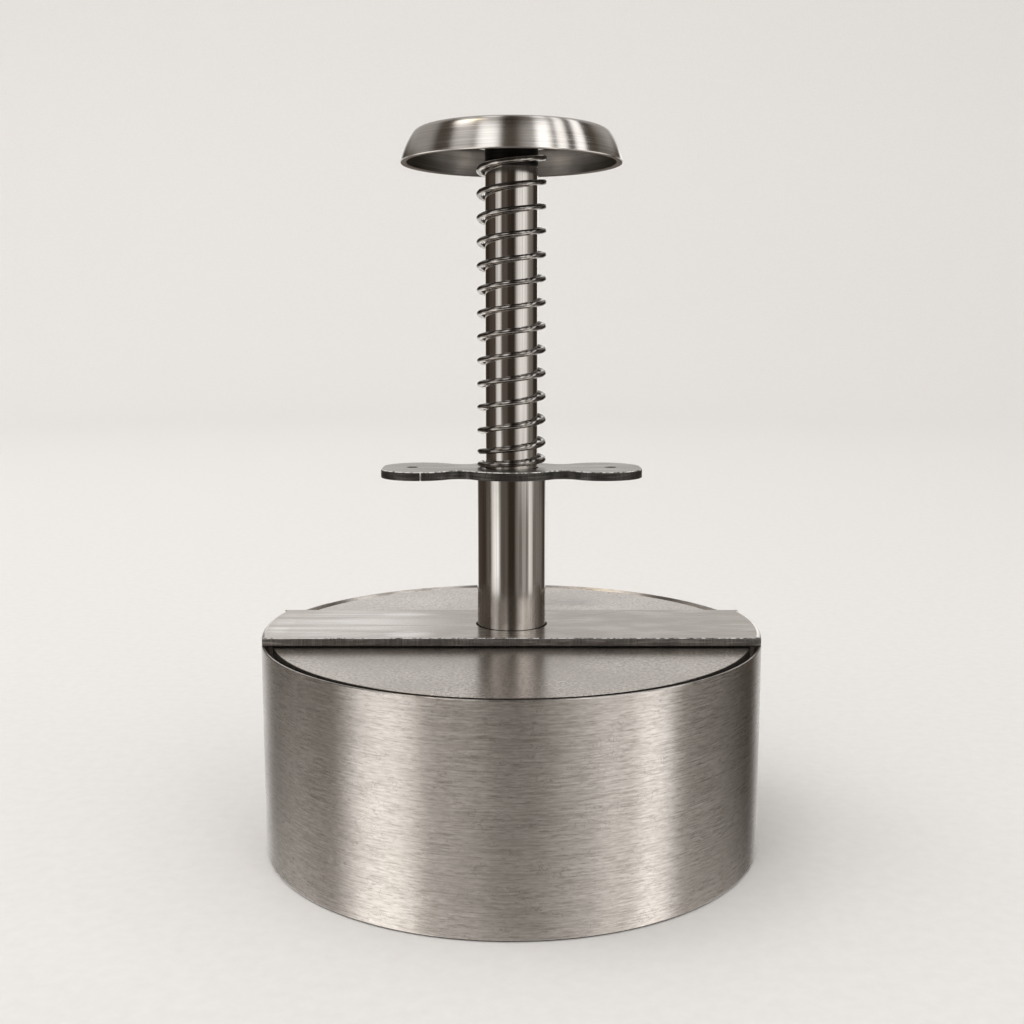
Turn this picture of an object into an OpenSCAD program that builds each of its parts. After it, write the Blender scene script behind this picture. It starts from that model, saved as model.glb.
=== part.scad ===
// Hand press for burger patties.
// A steel ring stands on the table, a bridge plate carries a guide tube and a plate for two fingers,
// and a sprung plunger pushes a disc down through the ring when the knob is pressed.
// All sizes are in millimetres. The origin is the centre of the ring's lower edge, with Z up.

/* [Mould ring] */
// Outside diameter of the ring
ring_od = 116; // [90:1:140]
// Thickness of the ring's wall
ring_wall = 1.5; // [1:0.1:3]
// Height of the ring
ring_h = 49; // [35:1:70]
// Size of the eased edges of the ring
ring_ease = 0.2; // [0.1:0.05:0.4]
// Size of the chamfer on the inner edge of the ring's rim
rim_chamfer = 1.1; // [0.2:0.1:1.4]

/* [Bridge plate] */
// Width of the bridge plate, front edge to rear edge
bridge_w = 30; // [24:1:60]
// Thickness of the bridge plate
bridge_t = 2; // [1.2:0.1:4]
// Radius on the upper edge of the plate's two ends
bridge_round = 1.4; // [0.2:0.1:2]
// Size of the countersunk edge round the foot of the tube
foot_chamfer = 0.35; // [0.1:0.05:0.8]

/* [Guide tube and bushes] */
// Wall of the guide tube
tube_wall = 1; // [0.6:0.1:2]
// Height of the tube from the bridge plate to the finger plate
tube_rise = 35; // [28:1:60]
// Wall of the two plain bushes
bush_wall = 1; // [0.5:0.1:2]
// Length of each bush
bush_l = 12; // [6:1:15]

/* [Finger plate] */
// Length of the plate over both ears
finger_l = 60; // [54:1:90]
// Thickness of the plate
finger_t = 2; // [1.2:0.1:4]
// Radius of the corners of an ear
ear_r = 9; // [6:0.5:10]
// Straight stretch at the end of an ear, between its corners
ear_flat = 5; // [1:0.5:10]
// Width of the two necks between the hub and the ears
neck_w = 15; // [10:0.5:18]
// Diameter of the round hub in the middle
hub_d = 25; // [20:0.5:29]
// Diameter of the shallow drill mark on each ear
mark_d = 2.8; // [1:0.2:4]
// Distance of a drill mark from the end of its ear
mark_inset = 7; // [4:0.5:12]

/* [Plunger] */
// Diameter of the rod
rod_d = 12; // [10:0.5:16]
// Length of the rod
rod_l = 106.8; // [100:0.2:130]
// Thickness of the press disc
disc_t = 3; // [2.6:0.2:6]
// Size of the eased edges of the disc
disc_ease = 0.15; // [0.1:0.05:0.8]
// Thickness of the shim that sets the gap between disc and bridge plate
shim_t = 0.2; // [0.2:0.1:2]
// Outside diameter of the shim
shim_od = 20; // [17:0.5:26]
// Thread diameter of the disc screw
screw_d = 5; // [4:0.5:6]
// Height of the countersunk screw head
screw_head_h = 2.2; // [1.6:0.1:2.4]
// Length of the disc screw
screw_l = 16; // [10:1:30]
// Width of the hexagon socket in the disc screw
socket_w = 3; // [2:0.5:4]

/* [Knob] */
// Diameter of the knob at its lip
knob_d = 50.2; // [40:0.2:70]
// Height of the knob from lip to top
knob_h = 7.3; // [6:0.1:14]
// Lean of the knob's side at the lip
lip_lean = 12; // [5:1:20]
// Lean of the knob's side below the shoulder
shoulder_lean = 33; // [25:1:50]
// Thickness of the knob's wall
knob_wall = 1.4; // [0.8:0.1:2]
// Inside radius of the knob's shoulder
knob_fillet = 1.4; // [0.4:0.1:2]
// Size of the eased edges of the lip
lip_ease = 0.2; // [0.05:0.05:0.3]
// Height of the boss inside the knob
boss_h = 6.8; // [6.5:0.1:20]
// Thread diameter of the stud between boss and rod
stud_d = 8; // [5:0.5:8]
// Length of the stud that goes into the rod
stud_in_rod = 14; // [8:1:25]
// Length of the stud that goes into the boss
stud_in_boss = 5; // [4:0.5:5.5]

/* [Spring] */
// Diameter of the spring's wire
wire_d = 1.3; // [0.8:0.1:1.6]
// Turns of the spring, end to end
spring_turns = 13.875; // [10:0.125:18]
// Turns at the lower end that close up towards the seat. The upper end is plain
closing_turns = 1.75; // [1:0.25:2.5]
// Rise of the wire in one turn, where it lies on its seat
seat_pitch = 1.8; // [1.8:0.1:3]
// Where the lower end of the wire starts, as an angle from the right
spring_start = 168; // [0:1:359]
// Thickness of the washer that seats the top of the spring
washer_t = 2; // [0.6:0.1:3]
// Outside diameter of that washer
washer_od = 18; // [17:0.5:24]

/* [Clearances] */
// Gap all round between the disc and the ring
disc_gap = 1; // [0.3:0.1:2]
// Running gap between the rod and its bushes
rod_play = 0.05; // [0.02:0.01:0.1]
// Gap in the seats of tube, bushes, stud and screw
seat_fit = 0.03; // [0.01:0.01:0.08]
// Gap between the rod and the pieces that it passes freely
rod_clear = 0.3; // [0.2:0.05:0.6]
// Gap between the rod and the turns of the spring
spring_clear = 0.7; // [0.6:0.1:2]
// Gap between the end of the wire and its seat
wire_seat = 0.15; // [0.1:0.05:0.3]

/* [Hidden] */
$fn = 96;

// Heights, from the table up
bridge_z = ring_h;
bridge_top = bridge_z + bridge_t;
tube_top = bridge_top + tube_rise;
finger_top = tube_top + finger_t;
disc_top = bridge_z - shim_t;
disc_z = disc_top - disc_t;
rod_top = disc_top + rod_l;
knob_roof = rod_top + boss_h;
knob_top = knob_roof + knob_wall;
knob_z = knob_top - knob_h;
washer_z = knob_roof - washer_t;

// Diameters that follow from the rod
bush_id = rod_d + 2 * rod_play;
tube_id = rod_d + 2 * bush_wall;
tube_od = tube_id + 2 * tube_wall;
rod_hole = rod_d + 2 * rod_clear;

// Ring, disc and screw
ring_id = ring_od - 2 * ring_wall;
disc_d = ring_id - 2 * disc_gap;
// The chamfer leaves a flat on the rim, and the round leaves a straight foot on the plate's ends
rim_cut = min(rim_chamfer, ring_wall - 2 * ring_ease);
end_round = min(bridge_round, bridge_t - ring_ease);
screw_head_d = screw_d + 2 * screw_head_h;
socket_depth = screw_head_h / 2;
// Room past the end of a screw or stud in its blind hole
blind_end = 1;
// Overlap of a cutting tool past the face that it cuts
cut = 1;
// Depth of a drill mark, as a share of its width
mark_depth = mark_d / 4;

// Spring
wire_r = wire_d / 2;
// Eight straight stretches make a turn, so their corners stand outside the true circle of the wire
rings_per_turn = 8;
wire_sides = 6;
corner_swell = 2 / (1 + cos(180 / rings_per_turn));
coil_r = (rod_d / 2 + spring_clear + wire_r) * corner_swell;
spring_low = finger_top + wire_seat + wire_r;
spring_high = washer_z - wire_seat - wire_r;
open_pitch = (spring_high - spring_low - closing_turns * seat_pitch / 2) / (spring_turns - closing_turns / 2);

// Rise of the wire after some turns in the stretch that closes up towards a seat
function closing_rise(turns) =
    seat_pitch * turns + (open_pitch - seat_pitch) * turns * turns / (2 * closing_turns);

// Height of the wire's centre after some turns from its lower end
function wire_z(turns) =
    turns < closing_turns ? spring_low + closing_rise(turns)
    : spring_low + closing_rise(closing_turns) + open_pitch * (turns - closing_turns);

function wire_point(turns) =
    let (a = spring_start + 360 * turns)
    [coil_r * cos(a), coil_r * sin(a), wire_z(turns)];

function unit(v) = v / norm(v);

// Direction of the wire, from two near points on its centre line
function wire_direction(turns) =
    let (step = 0.01, low = max(turns - step, 0), high = min(turns + step, spring_turns))
    unit(wire_point(high) - wire_point(low));

// A level stretch of one wire diameter, past the end of the wire's turns
function wire_tail(turns) =
    let (d = wire_direction(turns))
    wire_d * unit([d.x, d.y, 0]);

// One ring of points round the wire, at a centre and square to a direction
function wire_ring(centre, direction, outward) =
    let (side = cross(direction, outward))
    [for (i = [0:wire_sides - 1])
        let (a = 360 * i / wire_sides)
        centre + wire_r * (cos(a) * outward + sin(a) * side)];

function outward_at(turns) =
    let (a = spring_start + 360 * turns, d = wire_direction(turns), o = [cos(a), sin(a), 0])
    unit(o - (o * d) * d);

turn_steps = [for (i = [0:floor(spring_turns * rings_per_turn)]) i / rings_per_turn];

last_turn = turn_steps[len(turn_steps) - 1];

// The wire's centres, with a straight stretch added at each end
spring_centres = concat(
    [wire_point(0) - wire_tail(0)],
    [for (t = turn_steps) wire_point(t)],
    [wire_point(last_turn) + wire_tail(last_turn)]
);
spring_marks = concat([0], turn_steps, [last_turn]);

// The least gap between two turns, measured on the wire's centres and the middles between them
spring_middles = [for (i = [0:len(spring_centres) - 2]) (spring_centres[i] + spring_centres[i + 1]) / 2];
spring_probe = [for (i = [0:len(spring_middles) - 1]) each [spring_centres[i], spring_middles[i]]];
half_turn = rings_per_turn;
spring_gap = min([
    for (i = [0:len(spring_probe) - 1 - half_turn])
        min([for (j = [i + half_turn:len(spring_probe) - 1]) norm(spring_probe[i] - spring_probe[j])])
]) - wire_d;
echo(spring_gap = spring_gap);

// Points of an arc from one angle to another
function arc(centre, radius, from, to, steps = 8) =
    [for (i = [0:steps])
        let (a = from + (to - from) * i / steps)
        centre + radius * [cos(a), sin(a)]];

// All points but the first, where an arc goes on from the one before it
function onward(points) = [for (i = [1:len(points) - 1]) points[i]];

// Angle of the line from one point to another
function heading(from, to) = atan2(to.y - from.y, to.x - from.x);

// Outline of the finger plate. The hollow between hub and ear is one arc, tangent to both rounds, whose
// deepest point leaves the neck its width. The hollow's radius comes from these two tangencies.
hub_r = hub_d / 2;
hub_at = [0, 0];
ear_at = [finger_l / 2 - ear_r, ear_flat / 2];
neck_half = neck_w / 2;
hub_over = hub_r - neck_half;
ear_over = ear_r + ear_at.y - neck_half;
hub_sum = hub_r + neck_half;
ear_sum = ear_r - ear_at.y + neck_half;
over_ratio = 1 - hub_over / ear_over;
reach_sq = ear_at.x * ear_at.x - hub_over * (hub_sum - ear_sum);
ear_to_hollow = reach_sq / (ear_at.x + sqrt(ear_at.x * ear_at.x - over_ratio * reach_sq));
hollow_r = (ear_to_hollow * ear_to_hollow / ear_over - ear_sum) / 2;
hollow_at = [ear_at.x - ear_to_hollow, neck_half + hollow_r];
ear_turn = heading(ear_at, hollow_at);
hub_turn = heading(hub_at, hollow_at);
finger_quarter = concat(
    arc(ear_at, ear_r, 0, ear_turn, 16),
    onward(arc(hollow_at, hollow_r, ear_turn + 180, hub_turn + 180, 12)),
    onward(arc(hub_at, hub_r, hub_turn, 90))
);
finger_half = concat(
    finger_quarter,
    [for (i = [len(finger_quarter) - 2:-1:0]) [-finger_quarter[i].x, finger_quarter[i].y]]
);
finger_outline = concat(
    finger_half,
    [for (i = [len(finger_half) - 1:-1:0]) [finger_half[i].x, -finger_half[i].y]]
);

// Outline of the knob's wall: flat top, round shoulder, a bowed side that leans in more and more
// towards the top, a flat lip, and the same way back inside
knob_shoulder = knob_fillet + knob_wall;
bow_r = (knob_h - knob_shoulder * (1 - sin(shoulder_lean))) / (sin(shoulder_lean) - sin(lip_lean));
bow_drop = bow_r * sin(lip_lean);
bow_at = [knob_d / 2 - bow_r * cos(lip_lean), knob_z - bow_drop];
shoulder_at = bow_at + (bow_r - knob_shoulder) * [cos(shoulder_lean), sin(shoulder_lean)];
inner_bow_r = bow_r - knob_wall;
lip_outer_r = bow_at.x + bow_r * cos(lip_lean);
lip_inner_r = bow_at.x + sqrt(inner_bow_r * inner_bow_r - bow_drop * bow_drop);
lip_outer_turn = asin((bow_drop + lip_ease) / bow_r);
lip_inner_turn = asin((bow_drop + lip_ease) / inner_bow_r);
knob_outline = concat(
    [[0, knob_top]],
    arc(shoulder_at, knob_shoulder, 90, shoulder_lean),
    onward(arc(bow_at, bow_r, shoulder_lean, lip_outer_turn, 12)),
    [[lip_outer_r - lip_ease, knob_z], [lip_inner_r + lip_ease, knob_z]],
    arc(bow_at, inner_bow_r, lip_inner_turn, shoulder_lean, 12),
    onward(arc(shoulder_at, knob_fillet, shoulder_lean, 90)),
    [[0, knob_roof]]
);

// A straight hollow cylinder
module sleeve(outer, inner, height) {
    difference() {
        cylinder(d = outer, h = height);
        translate([0, 0, -cut]) cylinder(d = inner, h = height + 2 * cut);
    }
}

// The ring's section: eased edges, and a chamfer inside its rim that lets the gap round the disc show
module mould_ring() {
    inner = ring_id / 2;
    outer = ring_od / 2;
    color("silver")
        rotate_extrude()
            polygon([
                [inner + ring_ease, 0], [outer - ring_ease, 0], [outer, ring_ease], [outer, ring_h - ring_ease],
                [outer - ring_ease, ring_h], [inner + rim_cut, ring_h], [inner, ring_h - rim_cut],
                [inner, ring_ease]
            ]);
}

// The plate's blank: a disc as wide as the ring with its upper edge rounded
module bridge_blank() {
    rotate_extrude()
        polygon(concat(
            [[0, 0], [ring_od / 2, 0]],
            arc([ring_od / 2 - end_round, bridge_t - end_round], end_round, 0, 90),
            [[0, bridge_t]]
        ));
}

module bridge_plate() {
    hole = tube_od + 2 * seat_fit;
    color("silver")
        translate([0, 0, bridge_z])
            difference() {
                intersection() {
                    bridge_blank();
                    translate([-ring_od / 2, -bridge_w / 2, 0]) cube([ring_od, bridge_w, bridge_t]);
                }
                translate([0, 0, -cut]) cylinder(d = hole, h = bridge_t + 2 * cut);
                translate([0, 0, bridge_t - foot_chamfer])
                    cylinder(d1 = hole, d2 = hole + 2 * (foot_chamfer + cut), h = foot_chamfer + cut);
            }
}

module guide_tube() {
    color("gainsboro") translate([0, 0, bridge_z]) sleeve(tube_od, tube_id, tube_top - bridge_z);
}

module bush() {
    sleeve(tube_id - 2 * seat_fit, bush_id, bush_l);
}

module lower_bush() {
    color("ivory") translate([0, 0, bridge_z]) bush();
}

module upper_bush() {
    color("ivory") translate([0, 0, tube_top - bush_l]) bush();
}

module finger_plate() {
    mark_x = finger_l / 2 - mark_inset;
    color("silver")
        translate([0, 0, tube_top])
            difference() {
                linear_extrude(finger_t) polygon(finger_outline);
                translate([0, 0, -cut]) cylinder(d = rod_hole, h = finger_t + 2 * cut);
                for (side = [-1, 1])
                    translate([side * mark_x, 0, finger_t - mark_depth])
                        cylinder(d1 = mark_d / 3, d2 = mark_d, h = mark_depth);
            }
}

module return_spring() {
    last = len(spring_centres) - 1;
    points = [
        for (i = [0:last])
            each wire_ring(spring_centres[i], wire_direction(spring_marks[i]), outward_at(spring_marks[i]))
    ];
    walls = [
        for (i = [0:last - 1], k = [0:wire_sides - 1])
            let (
                a = i * wire_sides + k,
                b = i * wire_sides + (k + 1) % wire_sides,
                c = b + wire_sides,
                d = a + wire_sides
            )
            each [[a, c, b], [a, d, c]]
    ];
    end = last * wire_sides;
    caps = [for (k = [1:wire_sides - 2]) each [[0, k, k + 1], [end, end + k + 1, end + k]]];
    color("dimgray") polyhedron(points = points, faces = concat(walls, caps));
}

module spring_washer() {
    color("lightgray") translate([0, 0, washer_z]) sleeve(washer_od, rod_hole, washer_t);
}

module plunger_rod() {
    color("gainsboro")
        difference() {
            translate([0, 0, disc_top]) cylinder(d = rod_d, h = rod_l);
            translate([0, 0, disc_top - cut])
                cylinder(d = screw_d + 2 * seat_fit, h = screw_l - disc_t + blind_end + cut);
            translate([0, 0, rod_top - stud_in_rod - blind_end])
                cylinder(d = stud_d + 2 * seat_fit, h = stud_in_rod + blind_end + cut);
        }
}

module stop_shim() {
    color("lightgray") translate([0, 0, disc_top]) sleeve(shim_od, rod_hole, shim_t);
}

// A countersunk screw, head down: its flat face is the lower face of the disc
module screw_shape(extra) {
    cylinder(d1 = screw_head_d + 2 * extra, d2 = screw_d + 2 * extra, h = screw_head_h);
    cylinder(d = screw_d + 2 * extra, h = screw_l);
}

module press_disc() {
    color("silver")
        translate([0, 0, disc_z])
            difference() {
                eased_disc();
                screw_shape(seat_fit);
                translate([0, 0, -cut]) cylinder(d = screw_head_d + 2 * seat_fit, h = cut);
            }
}

module eased_disc() {
    outer = disc_d / 2;
    rotate_extrude()
        polygon([
            [0, 0], [outer - disc_ease, 0], [outer, disc_ease], [outer, disc_t - disc_ease],
            [outer - disc_ease, disc_t], [0, disc_t]
        ]);
}

module disc_screw() {
    color("gray")
        translate([0, 0, disc_z])
            difference() {
                screw_shape(0);
                translate([0, 0, -cut])
                    cylinder(d = socket_w / cos(30), h = socket_depth + cut, $fn = 6);
            }
}

module knob() {
    color("gainsboro") rotate_extrude() polygon(knob_outline);
}

module knob_boss() {
    color("gray")
        translate([0, 0, rod_top])
            difference() {
                cylinder(d = rod_d, h = boss_h);
                translate([0, 0, -cut])
                    cylinder(d = stud_d + 2 * seat_fit, h = stud_in_boss + blind_end / 2 + cut);
            }
}

module knob_stud() {
    color("dimgray")
        translate([0, 0, rod_top - stud_in_rod]) cylinder(d = stud_d, h = stud_in_rod + stud_in_boss);
}

mould_ring();
bridge_plate();
guide_tube();
lower_bush();
upper_bush();
finger_plate();
return_spring();
spring_washer();
plunger_rod();
stop_shim();
press_disc();
disc_screw();
knob();
knob_boss();
knob_stud();
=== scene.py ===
import math

import bmesh
import bpy
from mathutils import Matrix, Vector, noise


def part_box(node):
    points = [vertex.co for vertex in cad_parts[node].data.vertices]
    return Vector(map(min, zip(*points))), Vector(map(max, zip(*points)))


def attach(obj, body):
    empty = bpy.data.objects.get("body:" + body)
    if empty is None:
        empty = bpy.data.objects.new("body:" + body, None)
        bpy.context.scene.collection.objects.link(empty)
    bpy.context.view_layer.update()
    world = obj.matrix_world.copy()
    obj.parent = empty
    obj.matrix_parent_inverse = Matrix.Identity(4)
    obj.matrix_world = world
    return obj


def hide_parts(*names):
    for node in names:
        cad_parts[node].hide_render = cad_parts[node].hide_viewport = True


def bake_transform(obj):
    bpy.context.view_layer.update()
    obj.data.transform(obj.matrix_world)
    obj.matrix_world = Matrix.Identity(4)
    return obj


# A hand press for burger patties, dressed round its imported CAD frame. All lengths are in metres.
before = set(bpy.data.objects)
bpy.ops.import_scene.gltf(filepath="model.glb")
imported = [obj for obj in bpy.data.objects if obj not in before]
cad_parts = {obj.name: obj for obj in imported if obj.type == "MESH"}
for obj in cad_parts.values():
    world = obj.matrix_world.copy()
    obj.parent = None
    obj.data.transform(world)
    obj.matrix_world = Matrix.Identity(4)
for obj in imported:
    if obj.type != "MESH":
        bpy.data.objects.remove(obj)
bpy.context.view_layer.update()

scene = bpy.context.scene
MM = 0.001
FULL_TURN = 2 * math.pi
QUARTER_TURN = math.pi / 2
MIDDLE = Vector((0, 0, 0))
UP = Vector((0, 0, 1))
TOUCHING = 1e-7
CLOSE = 10 * TOUCHING

# The photograph's view: the lens, where the camera stands and how far it looks down.
CAMERA_AT = Vector((0.000115, -0.295, 0.1178))
CAMERA_DOWN = math.radians(7.78)
CAMERA_LENS = 44.88
CAMERA_SENSOR = 36
CAMERA_NEAR = 10 * MM

# Sizes that a node's box does not tell, as in the part's source.
RING_WALL = 1.5 * MM
RING_EASE = 0.2 * MM
RIM_CHAMFER = 1.1 * MM
STRIP_END_ROUND = 1.4 * MM
FOOT_HOLE = 8.03 * MM
FOOT_CHAMFER = 0.35 * MM
TUBE_WALL = 1.0 * MM
ROD_HOLE = 6.3 * MM
EAR_ROUND = 9.0 * MM
EAR_FLAT = 5.0 * MM
NECK_WIDTH = 15.0 * MM
HUB_ROUND = 12.5 * MM
DRILL_MARK = 1.4 * MM
DRILL_MARK_INSET = 7.0 * MM
DRILL_MARK_DEPTH = 0.7 * MM
DRILL_MARK_TIP = 0.33
DISC_EASE = 0.15 * MM
SCREW_SHANK = 2.5 * MM
THREAD_GAP = 0.03 * MM
SCREW_HEAD = 2.2 * MM
SCREW_SOCKET = 1.732 * MM
SCREW_SOCKET_SIDES = 6
SCREW_SOCKET_DEPTH = 1.1 * MM
SCREW_HOLE_DEPTH = 14.0 * MM
STUD_HOLE = 4.03 * MM
STUD_HOLE_DEPTH = 15.0 * MM
STUD_IN_BOSS = 5.5 * MM
KNOB_WALL = 1.4 * MM
KNOB_INNER_ROUND = 1.4 * MM
KNOB_LIP_LEAN = math.radians(12)
KNOB_SHOULDER_LEAN = math.radians(33)
KNOB_LIP_EASE = 0.2 * MM
WIRE_RADIUS = 0.65 * MM
COIL_RADIUS = 7.35 * MM
COIL_TURNS = 13.875
COIL_CLOSING_TURNS = 1.75
COIL_SEAT_PITCH = 1.8 * MM
COIL_START = math.radians(168)
COIL_SEAT_GAP = 0.15 * MM

# Fineness of the turned and cut shapes.
RING_STEPS = 288
TURNED_STEPS = 128
SMALL_STEPS = 96
EASE_STEPS = 4
BURR_STEPS = 2
CHAMFER_STEPS = 1
END_ROUND_STEPS = 8
COIL_STEPS = 48
WIRE_SIDES = 18
SHARP_ANGLE = math.radians(35)


def round_size(node):
    """Radius, foot and top of a round CAD node."""
    low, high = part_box(node)
    return high.x, low.z, high.z


def connect(bm, first, place):
    """A straight stretch of outline from a vertex to a new one at a place."""
    last = bm.verts.new(place)
    bm.edges.new((first, last))
    return last


def sweep(bm, first, centre, axis, angle, steps):
    """An arc of outline: a vertex turned about a centre. Returns its far end."""
    made = bmesh.ops.spin(
        bm, geom=[first], cent=centre, axis=axis, angle=angle, steps=steps, use_merge=False
    )
    return made["geom_last"][0]


def turn_on_lathe(bm, steps):
    """Spins the outline in a bmesh a full turn about the plunger's axis and closes it."""
    on_axis = [e for e in bm.edges if all(v.co.x < TOUCHING for v in e.verts)]
    bmesh.ops.delete(bm, geom=on_axis, context="EDGES")
    bmesh.ops.spin(
        bm,
        geom=bm.verts[:] + bm.edges[:],
        cent=MIDDLE,
        axis=UP,
        angle=FULL_TURN,
        steps=steps,
        use_merge=True,
    )
    bmesh.ops.remove_doubles(bm, verts=bm.verts[:], dist=TOUCHING)
    bmesh.ops.recalc_face_normals(bm, faces=bm.faces[:])


def turned(corners, steps):
    """A closed section of (radius, height, easing) corners, eased and spun round the axis."""
    bm = bmesh.new()
    points = [bm.verts.new((radius, 0, height)) for radius, height, easing in corners]
    bm.faces.new(points)
    for point, (radius, height, easing) in zip(points, corners):
        if easing:
            bmesh.ops.bevel(
                bm,
                geom=[point],
                offset=easing,
                offset_type="OFFSET",
                segments=EASE_STEPS,
                profile=0.5,
                affect="VERTICES",
                material=-1,
            )
    bmesh.ops.delete(bm, geom=bm.faces[:], context="FACES_ONLY")
    turn_on_lathe(bm, steps)
    return bm


def ease_edges(bm, edges, size, steps):
    """Rounds some edges of a cut plate."""
    bmesh.ops.bevel(
        bm,
        geom=edges,
        offset=size,
        offset_type="OFFSET",
        segments=steps,
        profile=0.5,
        affect="EDGES",
        material=-1,
    )


def only(kind, geometry):
    """The vertices, edges or faces in what an operator made."""
    return [g for g in geometry if isinstance(g, kind)]


def split_to(bm, edges, longest):
    """Halves edges until none is longer than a given length."""
    long_ones = [e for e in edges if e.calc_length() > longest]
    while long_ones:
        made = bmesh.ops.subdivide_edges(bm, edges=long_ones, cuts=1)
        parts = only(bmesh.types.BMEdge, made["geom_inner"] + made["geom_split"])
        long_ones = [e for e in parts if e.is_valid and e.calc_length() > longest]


def nick(verts, inward):
    """Presses small dents into an edge, where a noise along it is high."""
    for vert in verts:
        high = noise.noise(vert.co / NICK_LENGTH) - NICK_KEEP
        if high > 0:
            vert.co += inward(vert.co) * min(high * NICK_RAMP, 1) * NICK_DEPTH


def place_piece(name, bm, finishes, body, slot, *nodes):
    """Makes a mesh object of a bmesh, with even normals, and gives it to the frame."""
    mesh = bpy.data.meshes.new(name)
    bm.to_mesh(mesh)
    bm.free()
    for finish in finishes:
        mesh.materials.append(finish)
    mesh.polygons.foreach_set("use_smooth", [True] * len(mesh.polygons))
    mesh.set_sharp_from_angle(angle=SHARP_ANGLE)
    piece = bpy.data.objects.new(name, mesh)
    scene.collection.objects.link(piece)
    flat_faces = piece.modifiers.new("flat_faces", "WEIGHTED_NORMAL")
    flat_faces.keep_sharp = True
    shaped = piece.evaluated_get(bpy.context.evaluated_depsgraph_get())
    piece.data = bpy.data.meshes.new_from_object(shaped)
    piece.data.name = name
    piece.modifiers.clear()
    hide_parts(*nodes)
    if body:
        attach(piece, body)
    return piece


# Finishes.


def start_finish(name, colour, roughness, metallic=1.0):
    """A new material with its shader's plain values set."""
    finish = bpy.data.materials.new(name)
    finish.use_nodes = True
    tree = finish.node_tree
    shader = tree.nodes["Principled BSDF"]
    shader.inputs["Base Color"].default_value = (*colour, 1)
    shader.inputs["Metallic"].default_value = metallic
    shader.inputs["Roughness"].default_value = roughness
    return finish, tree, shader


def node(tree, kind, inputs=None, **settings):
    """A shader node with settings, and inputs given as values or as sockets to link."""
    made = tree.nodes.new(kind)
    for key, value in settings.items():
        setattr(made, key, value)
    for key, value in (inputs or {}).items():
        if isinstance(value, bpy.types.NodeSocket):
            tree.links.new(value, made.inputs[key])
        else:
            made.inputs[key].default_value = value
    return made


def object_place(tree):
    """The place on the piece, in metres."""
    return node(tree, "ShaderNodeTexCoord").outputs["Object"]


def grain(tree, per_metre, detail=2.0, shift=(0, 0, 0), place=None):
    """Noise with its own fineness along each axis."""
    spot = node(
        tree,
        "ShaderNodeMapping",
        {"Vector": place or object_place(tree), "Location": shift, "Scale": per_metre},
    )
    made = node(
        tree,
        "ShaderNodeTexNoise",
        {"Vector": spot.outputs["Vector"], "Scale": 1.0, "Detail": detail, "Roughness": 0.6},
    )
    return made.outputs["Fac"]


def math_node(tree, operation, first, second):
    """A sum, product or the like of two values."""
    return node(tree, "ShaderNodeMath", {0: first, 1: second}, operation=operation).outputs["Value"]


def lathe_place(tree, across, along):
    """A place that runs fast across turning marks and slowly along them."""
    x_y_z = node(tree, "ShaderNodeSeparateXYZ", {"Vector": object_place(tree)})
    x, y, z = (x_y_z.outputs[axis] for axis in "XYZ")
    flat = node(tree, "ShaderNodeCombineXYZ", {"X": x, "Y": y})
    radius = node(tree, "ShaderNodeVectorMath", {0: flat.outputs["Vector"]}, operation="LENGTH")
    path = math_node(tree, "SUBTRACT", radius.outputs["Value"], z)
    spot = node(
        tree,
        "ShaderNodeCombineXYZ",
        {
            "X": math_node(tree, "MULTIPLY", path, across),
            "Y": math_node(tree, "MULTIPLY", x, along),
            "Z": math_node(tree, "MULTIPLY", y, along),
        },
    )
    return spot.outputs["Vector"]


def between(tree, value, low, high, to_low, to_high, easing="LINEAR"):
    """A value's stretch from low to high, turned into a stretch from to_low to to_high."""
    made = node(
        tree,
        "ShaderNodeMapRange",
        {"Value": value, "From Min": low, "From Max": high, "To Min": to_low, "To Max": to_high},
        interpolation_type=easing,
    )
    return made.outputs["Result"]


def colours(tree, value, stops):
    """Colours along a value, given as (place, colour) stops."""
    made = node(tree, "ShaderNodeValToRGB", {"Fac": value})
    ramp = made.color_ramp
    while len(ramp.elements) < len(stops):
        ramp.elements.new(1.0)
    for element, (place, colour) in zip(ramp.elements, stops):
        element.position = place
        element.color = (*colour, 1)
    return made.outputs["Color"]


def mixed(tree, share, first, second, blend="MIX"):
    """Two colours mixed by a share."""
    made = node(tree, "ShaderNodeMix", data_type="RGBA", blend_type=blend)
    for key, value in (("Factor", share), ("A", first), ("B", second)):
        socket = next(s for s in made.inputs if s.name == key and s.enabled)
        if isinstance(value, bpy.types.NodeSocket):
            tree.links.new(value, socket)
        else:
            socket.default_value = value
    return next(s for s in made.outputs if s.enabled)


def blended(tree, share, first, second):
    """Two values mixed by a share."""
    return node(
        tree, "ShaderNodeMix", {"Factor": share, "A": first, "B": second}, data_type="FLOAT"
    ).outputs["Result"]


def rise(tree, height, distance, strength, under=None):
    """A bump of a given depth, on top of another bump where there is one."""
    inputs = {"Height": height, "Distance": distance, "Strength": strength}
    if under:
        inputs["Normal"] = under
    return node(tree, "ShaderNodeBump", inputs).outputs["Normal"]


def brush_across(tree, shader, amount, axis, turn):
    """Stretches highlights across the brushing, with the same amount all over."""
    shader.inputs["Anisotropic"].default_value = amount
    shader.inputs["Anisotropic Rotation"].default_value = turn
    along = node(tree, "ShaderNodeTangent", direction_type="RADIAL", axis=axis)
    tree.links.new(along.outputs["Tangent"], shader.inputs["Tangent"])


def wear(tree, shader, colour, roughness, normal):
    """Links a finish's worked-out colour, roughness and bump to its shader."""
    tree.links.new(colour, shader.inputs["Base Color"])
    tree.links.new(roughness, shader.inputs["Roughness"])
    tree.links.new(normal, shader.inputs["Normal"])


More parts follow.
